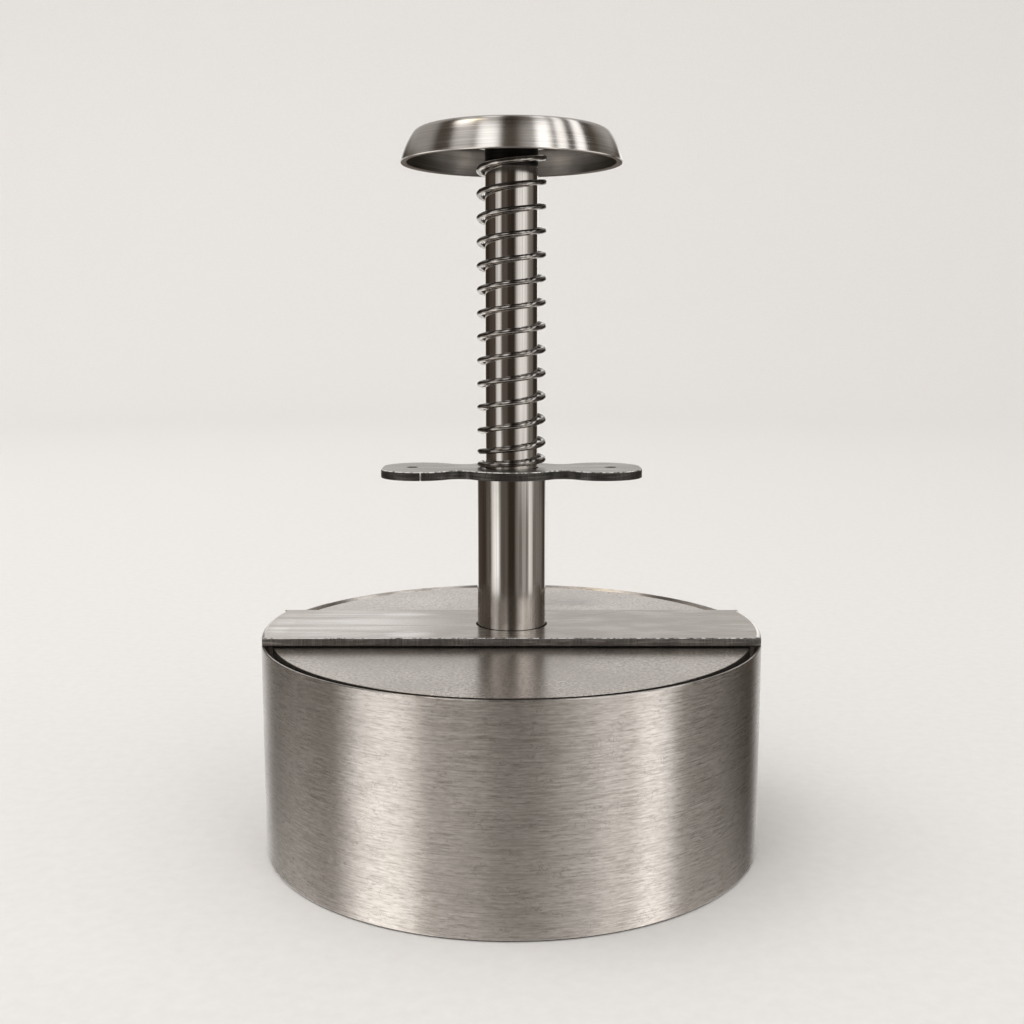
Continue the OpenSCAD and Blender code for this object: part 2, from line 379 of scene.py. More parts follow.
def hairlines(tree, value, width):
    """Thin winding lines, where a noise crosses its middle."""
    away = math_node(tree, "ABSOLUTE", math_node(tree, "SUBTRACT", value, 0.5), 0)
    return between(tree, away, 0, width, 1, 0)


def brushed_band():
    """The ring: sheet brushed along its length and rolled, so its lines run round it."""
    finish, tree, shader = start_finish("brushed_band", (0.58, 0.55, 0.52), 0.36)
    lines = grain(tree, (110, 110, 2700), detail=3.0)
    dashes = grain(tree, (480, 480, 3000), detail=2.0, shift=(9, 4, 2))
    curls = grain(tree, (520, 520, 760), detail=1.0, shift=(5, 5, 8))
    sparse = grain(tree, (170, 170, 240), detail=2.0, shift=(2, 6, 1))
    smears = grain(tree, (45, 45, 70), detail=4.0, shift=(3, 1, 7))
    steel = colours(
        tree,
        lines,
        [(0.3, (0.45, 0.42, 0.393)), (0.5, (0.575, 0.54, 0.508)), (0.7, (0.68, 0.645, 0.612))],
    )
    drawn = mixed(tree, between(tree, dashes, 0.52, 0.7, 0, 0.6), steel, (0.78, 0.748, 0.716, 1))
    scratched = mixed(tree, between(tree, dashes, 0.46, 0.3, 0, 0.6), drawn, (0.32, 0.296, 0.272, 1))
    worn = mixed(tree, between(tree, smears, 0.42, 0.66, 0, 0.3), scratched, (0.46, 0.43, 0.4, 1))
    curled = math_node(
        tree, "MULTIPLY", hairlines(tree, curls, 0.02), between(tree, sparse, 0.48, 0.6, 0, 0.6)
    )
    marked = mixed(tree, curled, worn, (0.27, 0.25, 0.23, 1))
    rough = math_node(
        tree,
        "ADD",
        between(tree, lines, 0.3, 0.7, 0.25, 0.31),
        between(tree, smears, 0.4, 0.7, 0, 0.04),
    )
    bump = rise(tree, lines, 0.02 * MM, 0.4)
    bump = rise(tree, dashes, 0.025 * MM, 0.5, bump)
    bump = rise(tree, curled, 0.02 * MM, 0.4, bump)
    wear(tree, shader, marked, rough, bump)
    brush_across(tree, shader, 0.9, "Z", 0.25)
    return finish


# Lighter patches on the bridge plate that a hand has polished; the first two, at the left end and
# across the left half, also paint a highlight and a lighter left side. Each: place, half length,
# half width and strength.
POLISH_AND_HIGHLIGHT_PATCHES = (
    ((-53.5 * MM, 0), 6 * MM, 20 * MM, 0.9),
    ((-40 * MM, 0), 34 * MM, 24 * MM, 0.75),
    ((-40 * MM, -9 * MM), 16 * MM, 7 * MM, 0.75),
    ((-24 * MM, -11 * MM), 9 * MM, 6 * MM, 0.85),
    ((-27 * MM, 9 * MM), 12 * MM, 5 * MM, 0.85),
)


def soft_patch(tree, centre, half_length, half_width):
    """One in the middle of a long soft patch on a flat face, nothing outside it."""
    spot = node(
        tree,
        "ShaderNodeMapping",
        {
            "Vector": object_place(tree),
            "Location": (-centre[0] / half_length, -centre[1] / half_width, 0),
            "Scale": (1 / half_length, 1 / half_width, 0),
        },
    )
    away = node(tree, "ShaderNodeVectorMath", {0: spot.outputs["Vector"]}, operation="LENGTH")
    return between(tree, away.outputs["Value"], 0.2, 1, 1, 0, "SMOOTHSTEP")


def shaded(shade, *levels):
    """Warm greys at some levels of one shade, each as a colour."""
    return [(shade * level, shade * level * 0.928, shade * level * 0.86) for level in levels]


def brushed_sheet(name, shade, polished):
    """The flat face of a cut plate, brushed lengthwise, clouded, and lighter in the given patches:
    polish, and on the bridge plate also a painted highlight.
    """
    dark, middle, light = shaded(shade, 0.82, 1.0, 1.18)
    finish, tree, shader = start_finish(name, middle, 0.34)
    lines = grain(tree, (35, 1900, 35), detail=3.0)
    cloud = grain(tree, (60, 150, 60), detail=4.0, shift=(1, 5, 2))
    strokes = grain(tree, (22, 240, 22), detail=4.0, shift=(4, 2, 2))
    patches = between(tree, cloud, 0.45, 0.62, 0, 0.25)
    # The given patches: polish, and on the bridge plate's left a painted highlight.
    for centre, half_length, half_width, strength in polished:
        in_patch = soft_patch(tree, centre, half_length, half_width)
        ragged = math_node(tree, "MULTIPLY", in_patch, between(tree, strokes, 0.3, 0.58, 0, strength))
        patches = math_node(tree, "MAXIMUM", patches, ragged)
    steel = colours(tree, lines, [(0.25, dark), (0.5, middle), (0.75, light)])
    worn = mixed(tree, patches, steel, (0.92, 0.895, 0.87, 1))
    rough = math_node(
        tree,
        "SUBTRACT",
        between(tree, lines, 0.3, 0.7, 0.25, 0.33),
        between(tree, patches, 0, 1, 0, 0.06),
    )
    bump = rise(tree, lines, 0.02 * MM, 0.2)
    wear(tree, shader, worn, rough, bump)
    brush_across(tree, shader, 0.6, "X", 0.0)
    return finish


def cut_edge(name, shade):
    """The dull dark edge that the laser left, with fine striations and streaks."""
    dark, middle, light, bright, sooty = shaded(shade, 0.55, 1.0, 1.8, 2.8, 0.5)
    finish, tree, shader = start_finish(name, middle, 0.44, metallic=0.8)
    lines = grain(tree, (3900, 3900, 160), detail=3.0)
    streaks = grain(tree, (160, 160, 2600), detail=2.0, shift=(7, 1, 3))
    soot = grain(tree, (170, 170, 300), detail=3.0, shift=(4, 4, 1))
    steel = colours(tree, lines, [(0.3, dark), (0.55, middle), (0.75, light)])
    drawn = mixed(tree, between(tree, streaks, 0.5, 0.7, 0, 0.6), steel, (*bright, 1))
    worn = mixed(tree, between(tree, soot, 0.42, 0.65, 0, 0.6), drawn, (*sooty, 1))
    rough = between(tree, soot, 0.3, 0.7, 0.36, 0.55)
    bump = rise(tree, lines, 0.03 * MM, 0.4)
    wear(tree, shader, worn, rough, bump)
    return finish


def gap_shade():
    """Near-black painted shade for the narrow gaps, the tube's foot and the ring's foot, where shade
    and contact shadow fall.
    """
    finish, tree, shader = start_finish("gap_shade", (0.02, 0.018, 0.016), 0.6, metallic=0.4)
    crumbs = grain(tree, (900, 900, 900), detail=3.0)
    shade_and_grime = colours(tree, crumbs, [(0.35, (0.01, 0.009, 0.008)), (0.7, (0.045, 0.041, 0.037))])
    rough = between(tree, crumbs, 0.3, 0.7, 0.5, 0.7)
    bump = rise(tree, crumbs, 0.02 * MM, 0.4)
    wear(tree, shader, shade_and_grime, rough, bump)
    return finish


def burr_highlight():
    """The burr along the cut edges, near-white as a painted highlight, broken by dark chips more
    towards the right.
    """
    finish, tree, shader = start_finish("burr_highlight", (0.7, 0.68, 0.66), 0.4, metallic=0.45)
    across = node(tree, "ShaderNodeSeparateXYZ", {"Vector": object_place(tree)}).outputs["X"]
    chips = math_node(
        tree,
        "ADD",
        grain(tree, (850, 850, 850), detail=3.0),
        between(tree, across, -58 * MM, 58 * MM, 0.12, -0.03),
    )
    steel = colours(
        tree,
        chips,
        [(0.38, (0.09, 0.085, 0.08)), (0.5, (0.4, 0.385, 0.37)), (0.58, (0.93, 0.915, 0.9))],
    )
    rough = between(tree, chips, 0.3, 0.7, 0.5, 0.3)
    bump = rise(tree, chips, 0.05 * MM, 0.5)
    wear(tree, shader, steel, rough, bump)
    return finish


def ground_end():
    """The rounded ends of the bridge plate, ground and polished over the weld."""
    finish, tree, shader = start_finish("ground_end", (0.7, 0.67, 0.64), 0.2)
    marks = grain(tree, (500, 500, 900), detail=3.0)
    steel = colours(
        tree,
        marks,
        [(0.3, (0.58, 0.55, 0.52)), (0.5, (0.7, 0.67, 0.64)), (0.7, (0.78, 0.755, 0.73))],
    )
    rough = between(tree, marks, 0.3, 0.7, 0.16, 0.26)
    bump = rise(tree, marks, 0.01 * MM, 0.3)
    wear(tree, shader, steel, rough, bump)
    return finish


# A painted reflection: the guide tube's soft dark reflection on the disc behind it.
TUBE_REFLECTION_AT = (14 * MM, 34 * MM)
TUBE_REFLECTION_HALF_LENGTH = 14 * MM
TUBE_REFLECTION_HALF_WIDTH = 7 * MM


def satin_disc():
    """The press disc: a fine even grain, with faint stains and a painted dark reflection of the
    guide tube.
    """
    finish, tree, shader = start_finish("satin_disc", (0.44, 0.415, 0.39), 0.22)
    pits = grain(tree, (1500, 1500, 1500), detail=3.0)
    dimples = grain(tree, (520, 520, 520), detail=2.0, shift=(2, 8, 1))
    patches = grain(tree, (30, 30, 30), detail=3.0, shift=(6, 2, 9))
    dark, middle, light, stain, reflection_shade = shaded(0.56, 0.62, 1.0, 1.38, 0.85, 0.66)
    steel = colours(tree, pits, [(0.3, dark), (0.5, middle), (0.7, light)])
    worn = mixed(tree, between(tree, patches, 0.4, 0.65, 0, 0.4), steel, (*stain, 1))
    # Painted reflection of the tube, darker and ragged.
    tube_reflection = soft_patch(tree, TUBE_REFLECTION_AT, TUBE_REFLECTION_HALF_LENGTH, TUBE_REFLECTION_HALF_WIDTH)
    ragged = math_node(tree, "MULTIPLY", tube_reflection, between(tree, dimples, 0.35, 0.62, 0, 1))
    reflected = mixed(tree, ragged, worn, (*reflection_shade, 1))
    rough = between(tree, patches, 0.3, 0.7, 0.24, 0.3)
    bump = rise(tree, pits, 0.02 * MM, 0.45)
    bump = rise(tree, dimples, 0.02 * MM, 0.2, bump)
    wear(tree, shader, reflected, rough, bump)
    return finish


def polished_bar():
    """Bar and tube, polished along their length."""
    finish, tree, shader = start_finish("polished_bar", (0.62, 0.59, 0.56), 0.1)
    lines = grain(tree, (1100, 1100, 6), detail=3.0)
    haze = grain(tree, (60, 60, 90), detail=3.0, shift=(2, 2, 5))
    steel = colours(
        tree,
        lines,
        [(0.3, (0.46, 0.428, 0.396)), (0.55, (0.64, 0.61, 0.58)), (0.75, (0.76, 0.735, 0.71))],
    )
    hairs = grain(tree, (2600, 2600, 9), detail=2.0, shift=(6, 3, 1))
    drawn = mixed(tree, between(tree, hairs, 0.5, 0.68, 0, 0.55), steel, (0.36, 0.333, 0.306, 1))
    worn = mixed(tree, between(tree, haze, 0.45, 0.7, 0, 0.3), drawn, (0.5, 0.475, 0.45, 1))
    rough = between(tree, haze, 0.3, 0.7, 0.06, 0.14)
    bump = rise(tree, lines, 0.01 * MM, 0.12)
    wear(tree, shader, worn, rough, bump)
    return finish


def spun_dish():
    """The knob's outside, spun and polished on a lathe."""
    finish, tree, shader = start_finish("spun_dish", (0.62, 0.6, 0.57), 0.24)
    marks = grain(tree, (1, 1, 1), detail=3.0, place=lathe_place(tree, 2300, 40))
    haze = grain(tree, (70, 70, 120), detail=3.0, shift=(5, 1, 3))
    steel = colours(
        tree,
        marks,
        [(0.25, (0.53, 0.505, 0.48)), (0.5, (0.63, 0.605, 0.58)), (0.75, (0.72, 0.7, 0.68))],
    )
    worn = mixed(tree, between(tree, haze, 0.45, 0.7, 0, 0.3), steel, (0.5, 0.475, 0.45, 1))
    rough = between(tree, marks, 0.3, 0.7, 0.15, 0.22)
    bump = rise(tree, marks, 0.02 * MM, 0.25)
    wear(tree, shader, worn, rough, bump)
    brush_across(tree, shader, 0.7, "Z", 0.25)
    return finish


def dish_hollow():
    """The knob's inside and the underside of its lip: satin, darkened as painted shade, with darker
    patches.
    """
    finish, tree, shader = start_finish("dish_hollow", (0.46, 0.44, 0.42), 0.4)
    marks = grain(tree, (1, 1, 1), detail=3.0, place=lathe_place(tree, 1700, 40))
    shade_and_grime = grain(tree, (140, 140, 140), detail=4.0, shift=(5, 8, 3))
    steel = colours(tree, marks, [(0.3, (0.12, 0.111, 0.102)), (0.7, (0.17, 0.158, 0.146))])
    worn = mixed(tree, between(tree, shade_and_grime, 0.45, 0.7, 0, 0.6), steel, (0.11, 0.102, 0.094, 1))
    # A dim specular tint, also painted shade.
    shader.inputs["Specular Tint"].default_value = (0.4, 0.375, 0.35, 1)
    rough = between(tree, shade_and_grime, 0.3, 0.7, 0.32, 0.48)
    bump = rise(tree, marks, 0.02 * MM, 0.3)
    wear(tree, shader, worn, rough, bump)
    return finish


def spring_steel():
    """Drawn wire, polished where it rubs."""
    finish, tree, shader = start_finish("spring_steel", (0.45, 0.43, 0.41), 0.2)
    scale = grain(tree, (500, 500, 500), detail=3.0)
    steel = colours(
        tree,
        scale,
        [(0.3, (0.12, 0.111, 0.102)), (0.5, (0.25, 0.234, 0.218)), (0.72, (0.46, 0.438, 0.416))],
    )
    rough = between(tree, scale, 0.3, 0.7, 0.06, 0.14)
    bump = rise(tree, scale, 0.01 * MM, 0.2)
    wear(tree, shader, steel, rough, bump)
    return finish


def turned_steel(name, dark, light, low_rough, high_rough):
    """Small turned pieces: fine rings from the tool, with darker stains."""
    finish, tree, shader = start_finish(name, light, high_rough)
    marks = grain(tree, (1, 1, 1), detail=3.0, place=lathe_place(tree, 3200, 60))
    stain = grain(tree, (260, 260, 260), detail=3.0, shift=(1, 9, 4))
    steel = colours(tree, marks, [(0.3, dark), (0.7, light)])
    worn = mixed(tree, between(tree, stain, 0.5, 0.75, 0, 0.5), steel, (*dark, 1))
    rough = between(tree, stain, 0.3, 0.7, low_rough, high_rough)
    bump = rise(tree, marks, 0.02 * MM, 0.3)
    wear(tree, shader, worn, rough, bump)
    return finish


def natural_acetal():
    """The ivory plastic of the bushes."""
    finish, tree, shader = start_finish("natural_acetal", (0.82, 0.8, 0.73), 0.45, metallic=0.0)
    marks = grain(tree, (1, 1, 1), detail=2.0, place=lathe_place(tree, 2500, 50))
    stain = grain(tree, (180, 180, 180), detail=3.0, shift=(3, 2, 8))
    plastic = colours(tree, marks, [(0.3, (0.76, 0.74, 0.67)), (0.7, (0.86, 0.84, 0.78))])
    worn = mixed(tree, between(tree, stain, 0.5, 0.75, 0, 0.4), plastic, (0.6, 0.57, 0.5, 1))
    rough = between(tree, stain, 0.3, 0.7, 0.35, 0.5)
    bump = rise(tree, marks, 0.02 * MM, 0.3)
    wear(tree, shader, worn, rough, bump)
    return finish


BAND = brushed_band()
SHEET = brushed_sheet("brushed_sheet", 0.53, POLISH_AND_HIGHLIGHT_PATCHES)
FINGER_SHEET = brushed_sheet("finger_sheet", 0.35, ())
CUT = cut_edge("cut_edge", 0.22)
DARK_CUT = cut_edge("dark_cut_edge", 0.065)
# Near-black painted shade for the gaps and the ring's foot.
GAP_SHADE = gap_shade()
# The burr: a real edge, its near-white colour a painted highlight.
BURR_HIGHLIGHT = burr_highlight()
GROUND = ground_end()
SATIN = satin_disc()
POLISH = polished_bar()
DISH = spun_dish()
HOLLOW = dish_hollow()
WIRE = spring_steel()
SCREW = turned_steel("screw_steel", (0.34, 0.33, 0.32), (0.52, 0.51, 0.5), 0.22, 0.36)
# Near-black steel: painted shade for the boss under the knob.
BOSS_SHADE = turned_steel("painted_shade_steel", (0.016, 0.015, 0.014), (0.04, 0.037, 0.034), 0.3, 0.45)
WASHER = turned_steel("washer_steel", (0.4, 0.385, 0.37), (0.56, 0.54, 0.52), 0.28, 0.4)
ACETAL = natural_acetal()


# Pieces.

FLAT_FACE = 0
EDGE_FACE = 1
BURR_FACE = 2
GROUND_FACE = 3
GAP_SHADE_FACE = 4
RING_FOOT_FACE = 1
RING_SHADE_FACE = 2
SPLIT_LENGTH = 0.35 * MM
BURR_EASE = 0.18 * MM
UNDER_EASE = 0.25 * MM
RING_FOOT_EASE = 0.55 * MM
NICK_DEPTH = 0.04 * MM
NICK_LENGTH = 0.28 * MM
NICK_KEEP = 0.34
NICK_RAMP = 4
NICK_DOWN = 0.8
STRIP_NICK_INWARD = 0.6
FINGER_NICK_INWARD = 0.5
NEAR_BURR = 1.2 * BURR_EASE
UPPER_BURR = 0.8 * BURR_EASE
FLAT_SLOPE = 0.97
STEEP_SLOPE = 0.25


def mould_band():
    """The ring: its wall, its chamfered rim and its foot, whose easing is near-black as a painted
    contact shadow.
    """
    radius, foot, top = round_size("mould_ring")
    bore = radius - RING_WALL
    bm = turned(
        [
            (radius, foot, RING_FOOT_EASE),
            (radius, top, RING_EASE),
            (bore + RIM_CHAMFER, top, 0),
            (bore, top - RIM_CHAMFER, 0),
            (bore, foot, RING_EASE),
        ],
        RING_STEPS,
    )
    # The foot's easing gets the near-black finish, a painted contact shadow; the flat bottom gets
    # the cut edge.
    for face in bm.faces:
        if face.normal.z < -STEEP_SLOPE:
            flat_foot = face.normal.z < -FLAT_SLOPE
            face.material_index = RING_FOOT_FACE if flat_foot else RING_SHADE_FACE
    return place_piece("mould_band", bm, [BAND, CUT, GAP_SHADE], "frame", "brushed_plate", "mould_ring")


def sort_faces(bm):
    """Gives a cut plate its flat, edge and burr faces by their slope."""
    for face in bm.faces:
        slope = abs(face.normal.z)
        if slope > FLAT_SLOPE:
            face.material_index = FLAT_FACE
        elif slope < STEEP_SLOPE:
            face.material_index = EDGE_FACE
        else:
            face.material_index = BURR_FACE


def bridge_strip():
    """The strip across the ring, with rounded ends, burred edges and the tube's hole."""
    low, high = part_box("bridge_plate")
    bm = bmesh.new()
    for radius in (FOOT_HOLE, high.x):
        bmesh.ops.create_circle(bm, segments=RING_STEPS, radius=radius)
    bmesh.ops.bridge_loops(bm, edges=bm.edges[:])
    for side in (-1, 1):
        bmesh.ops.bisect_plane(
            bm,
            geom=bm.verts[:] + bm.edges[:] + bm.faces[:],
            plane_co=(0, side * high.y, 0),
            plane_no=(0, side, 0),
            clear_outer=True,
        )
    bmesh.ops.translate(bm, verts=bm.verts[:], vec=(0, 0, low.z))

    def on_long_side(edge):
        return all(abs(abs(v.co.y) - high.y) < TOUCHING for v in edge.verts)

    split_to(bm, [e for e in bm.edges if on_long_side(e)], SPLIT_LENGTH)
    raised = bmesh.ops.extrude_face_region(bm, geom=bm.faces[:])["geom"]
    raised_verts = only(bmesh.types.BMVert, raised)
    bmesh.ops.translate(bm, verts=raised_verts, vec=(0, 0, high.z - low.z))
    bmesh.ops.recalc_face_normals(bm, faces=bm.faces[:])

    def at_height(edge, height):
        return all(abs(v.co.z - height) < TOUCHING for v in edge.verts)

    def on_circle(edge, radius):
        return all(abs(v.co.xy.length - radius) < CLOSE for v in edge.verts)

    top_edges = [e for e in bm.edges if at_height(e, high.z)]
    ends = [e for e in top_edges if on_circle(e, high.x) and not on_long_side(e)]
    ease_edges(bm, ends, STRIP_END_ROUND, END_ROUND_STEPS)
    foot = [e for e in bm.edges if at_height(e, high.z) and on_circle(e, FOOT_HOLE)]
    ease_edges(bm, foot, FOOT_CHAMFER, CHAMFER_STEPS)
    for height, easing in ((high.z, BURR_EASE), (low.z, UNDER_EASE)):
        long_sides = [e for e in bm.edges if on_long_side(e) and at_height(e, height)]
        ease_edges(bm, long_sides, easing, BURR_STEPS)
    sort_faces(bm)
    for face in bm.faces:
        reach = face.calc_center_median().xy.length
        at_end = reach > high.x - STRIP_END_ROUND and abs(face.normal.x) > STEEP_SLOPE
        if at_end and face.material_index != FLAT_FACE:
            face.material_index = GROUND_FACE
        # The tube's foot chamfer and the lower eased long edges get the near-black finish: painted
        # shade in the gap round the tube and under the plate.
        if reach < FOOT_HOLE + FOOT_CHAMFER:
            face.material_index = GAP_SHADE_FACE
        if face.material_index == BURR_FACE and face.normal.z < 0:
            face.material_index = GAP_SHADE_FACE
    edge_verts = [
        v
        for v in bm.verts
        if abs(v.co.y) > high.y - NEAR_BURR and v.co.z > high.z - UPPER_BURR
    ]

    def into_strip(place):
        return Vector((0, -math.copysign(STRIP_NICK_INWARD, place.y), -NICK_DOWN))

    nick(edge_verts, into_strip)
    finishes = [SHEET, CUT, BURR_HIGHLIGHT, GROUND, GAP_SHADE]
    return place_piece("bridge_strip", bm, finishes, "frame", "brushed_plate", "bridge_plate")


def guide_sleeve():
    """The tube between the bridge plate and the finger plate."""
    radius, foot, top = round_size("guide_tube")
    bore = radius - TUBE_WALL
    easing = 0.12 * MM
    bm = turned(
        [
            (radius, foot, easing),
            (radius, top, easing),
            (bore, top, easing),
            (bore, foot, easing),
        ],
        TURNED_STEPS,
    )
    return place_piece("guide_sleeve", bm, [POLISH], "frame", "polished_steel", "guide_tube")


EAR_STEPS = 72
HOLLOW_STEPS = 24
HUB_STEPS = 24
MARK_STEPS = 24
OUTLINE_ANGLE = math.radians(80)
EAR_FROM = 25 * MM
EAR_FLOOR = 3 * MM
NECK_FLOOR = 6 * MM
LASER_NOTCH_AT = Vector((-20.3 * MM, -11.5 * MM))
LASER_NOTCH_DEPTH = 0.28 * MM
LASER_NOTCH_WIDTH = 0.25 * MM


def finger_outline(bm, high):
    """A quarter of the two-eared outline, arc by arc, then mirrored to the whole."""
    hub_at = Vector((0, 0))
    ear_at = Vector((high.x - EAR_ROUND, EAR_FLAT / 2))
    neck = NECK_WIDTH / 2
    hub_over = HUB_ROUND - neck
    ear_over = EAR_ROUND + ear_at.y - neck
    hub_sum = HUB_ROUND + neck
    ear_sum = EAR_ROUND - ear_at.y + neck
    over_ratio = 1 - hub_over / ear_over
    reach_sq = ear_at.x**2 - hub_over * (hub_sum - ear_sum)
    to_hollow = reach_sq / (ear_at.x + math.sqrt(ear_at.x**2 - over_ratio * reach_sq))
    hollow_round = (to_hollow**2 / ear_over - ear_sum) / 2
    hollow_at = Vector((ear_at.x - to_hollow, neck + hollow_round))
    ear_turn = math.atan2(hollow_at.y - ear_at.y, hollow_at.x - ear_at.x)
    hub_turn = math.atan2(hollow_at.y - hub_at.y, hollow_at.x - hub_at.x)
    tip = bm.verts.new((high.x, 0, high.z))
    end = connect(bm, tip, (high.x, ear_at.y, high.z))
    arcs = (
        (ear_at, ear_turn, EAR_STEPS),
        (hollow_at, hub_turn - ear_turn, HOLLOW_STEPS),
        (hub_at, QUARTER_TURN - hub_turn, HUB_STEPS),
    )
    for centre, angle, steps in arcs:
        end = sweep(bm, end, (*centre, high.z), UP, angle, steps)
    for axis in ("X", "Y"):
        bmesh.ops.mirror(
            bm,
            geom=bm.verts[:] + bm.edges[:],
            matrix=Matrix.Identity(4),
            merge_dist=CLOSE,
            axis=axis,
        )
    bmesh.ops.remove_doubles(bm, verts=bm.verts[:], dist=CLOSE)


def neck_floor(x):
    """Half width below which a spot on the finger plate is not on its outline."""
    return EAR_FLOOR if abs(x) > EAR_FROM else NECK_FLOOR


def finger_rest():
    """The two-eared plate, with its drill marks and the start mark of its cut."""
    low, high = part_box("finger_plate")
    bm = bmesh.new()
    finger_outline(bm, high)
    notch = min(bm.verts, key=lambda v: (v.co.xy - LASER_NOTCH_AT).length)
    notch_at = notch.co.copy()
    notch.co.y += LASER_NOTCH_DEPTH
    at_top = Matrix.Translation((0, 0, high.z))
    bmesh.ops.create_circle(bm, segments=SMALL_STEPS, radius=ROD_HOLE, matrix=at_top)
    walls = bmesh.ops.extrude_edge_only(bm, edges=bm.edges[:])["geom"]
    lower_verts = only(bmesh.types.BMVert, walls)
    bmesh.ops.translate(bm, verts=lower_verts, vec=(0, 0, low.z - high.z))
    mark_x = high.x - DRILL_MARK_INSET
    tip_size = (DRILL_MARK_TIP, DRILL_MARK_TIP, 1)
    for side in (-1, 1):
        spot = Matrix.Translation((side * mark_x, 0, high.z))
        rim = bmesh.ops.create_circle(bm, segments=MARK_STEPS, radius=DRILL_MARK, matrix=spot)
        rim_edges = {e for v in rim["verts"] for e in v.link_edges}
        cone = bmesh.ops.extrude_edge_only(bm, edges=list(rim_edges))["geom"]
        cone_verts = only(bmesh.types.BMVert, cone)
        bmesh.ops.scale(bm, verts=cone_verts, vec=tip_size, space=spot.inverted())
        bmesh.ops.translate(bm, verts=cone_verts, vec=(0, 0, -DRILL_MARK_DEPTH))
        bmesh.ops.contextual_create(bm, geom=only(bmesh.types.BMEdge, cone))
    for height in (high.z, low.z):
        rims = [
            e
            for e in bm.edges
            if e.is_boundary and all(abs(v.co.z - height) < TOUCHING for v in e.verts)
        ]
        bmesh.ops.triangle_fill(bm, use_beauty=True, edges=rims)
    bmesh.ops.recalc_face_normals(bm, faces=bm.faces[:])
    outline = [
        e
        for e in bm.edges
        if len(e.link_faces) == 2
        and e.calc_face_angle() > OUTLINE_ANGLE
        and e.verts[0].co.xy.length > ROD_HOLE + BURR_EASE
    ]
    ease_edges(bm, outline, BURR_EASE, BURR_STEPS)
    sort_faces(bm)
    for face in bm.faces:
        centre = face.calc_center_median()
        across = Vector((abs(centre.x) - mark_x, centre.y, 0)).length
        if across < DRILL_MARK and low.z < centre.z < high.z - TOUCHING:
            face.material_index = EDGE_FACE
        if face.material_index == BURR_FACE and face.normal.z < 0:
            face.material_index = EDGE_FACE
        # Faces beside the cut's start mark get the burr's painted highlight on one side.
        beside = notch_at.x - centre.x
        if face.material_index == EDGE_FACE and centre.y < 0 and 0 < beside < LASER_NOTCH_WIDTH:
            face.material_index = BURR_FACE
    edge_verts = [
        v
        for v in bm.verts
        if high.z - NEAR_BURR < v.co.z
        and any(f.material_index == BURR_FACE for f in v.link_faces)
        and abs(v.co.y) > neck_floor(v.co.x)
    ]

    def into_plate(place):
        to_middle = Vector((-place.x, -place.y, 0)).normalized()
        return to_middle * FINGER_NICK_INWARD - UP * NICK_DOWN

    nick(edge_verts, into_plate)
    finishes = [FINGER_SHEET, DARK_CUT, BURR_HIGHLIGHT]
    return place_piece("finger_rest", bm, finishes, "frame", "brushed_plate", "finger_plate")


COIL_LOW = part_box("finger_plate")[1].z + COIL_SEAT_GAP + WIRE_RADIUS
COIL_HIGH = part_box("spring_washer")[0].z - COIL_SEAT_GAP - WIRE_RADIUS
COIL_RISE = COIL_HIGH - COIL_LOW
HALF_CLOSING = COIL_CLOSING_TURNS / 2
COIL_PITCH = (COIL_RISE - HALF_CLOSING * COIL_SEAT_PITCH) / (COIL_TURNS - HALF_CLOSING)


def closing_rise(turns):
    """Rise of the wire in the turns that close up towards its lower seat."""
    opening = (COIL_PITCH - COIL_SEAT_PITCH) / (2 * COIL_CLOSING_TURNS)
    return COIL_SEAT_PITCH * turns + opening * turns**2


def wire_height(turns):
    """Height of the wire's centre after some turns from its lower end."""
    turns = min(max(turns, 0), COIL_TURNS)
    if turns < COIL_CLOSING_TURNS:
        return COIL_LOW + closing_rise(turns)
    opened = closing_rise(COIL_CLOSING_TURNS)
    return COIL_LOW + opened + COIL_PITCH * (turns - COIL_CLOSING_TURNS)


SOLID_PITCH = 1.42 * MM
END_TURNS = 0.03


def return_coil():
    """The spring's round wire. Its closed turns stay closed and its open turns take the travel."""
    bm = bmesh.new()
    travel_share = bm.verts.layers.float.new("travel_share")
    slack = COIL_RISE - SOLID_PITCH * COIL_TURNS
    upright = Matrix.Rotation(QUARTER_TURN, 4, "X")
    to_coil = Matrix.Translation((COIL_RADIUS, 0, COIL_LOW))
    to_start = Matrix.Rotation(COIL_START - END_TURNS * FULL_TURN, 4, "Z")
    bmesh.ops.create_circle(
        bm, segments=WIRE_SIDES, radius=WIRE_RADIUS, matrix=to_start @ to_coil @ upright
    )
    section = bm.verts[:] + bm.edges[:]
    steps = round((COIL_TURNS + 2 * END_TURNS) * COIL_STEPS)
    turn_step = (COIL_TURNS + 2 * END_TURNS) / steps
    for step in range(steps):
        turns = step * turn_step - END_TURNS
        climb = wire_height(turns + turn_step) - wire_height(turns)
        made = bmesh.ops.spin(
            bm,
            geom=section,
            cent=MIDDLE,
            dvec=(0, 0, climb),
            axis=UP,
            angle=turn_step * FULL_TURN,
            steps=1,
            use_merge=False,
        )
        section = made["geom_last"]
        ahead = min(max(turns + turn_step, 0), COIL_TURNS)
        share = (wire_height(ahead) - COIL_LOW - SOLID_PITCH * ahead) / slack
        for vert in only(bmesh.types.BMVert, section):
            vert[travel_share] = min(max(share, 0), 1)
    bmesh.ops.holes_fill(bm, edges=[e for e in bm.edges if e.is_boundary], sides=0)
    bmesh.ops.recalc_face_normals(bm, faces=bm.faces[:])
    coil = place_piece("return_coil", bm, [WIRE], None, "spring_wire", "return_spring")
    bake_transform(coil)
    return coil


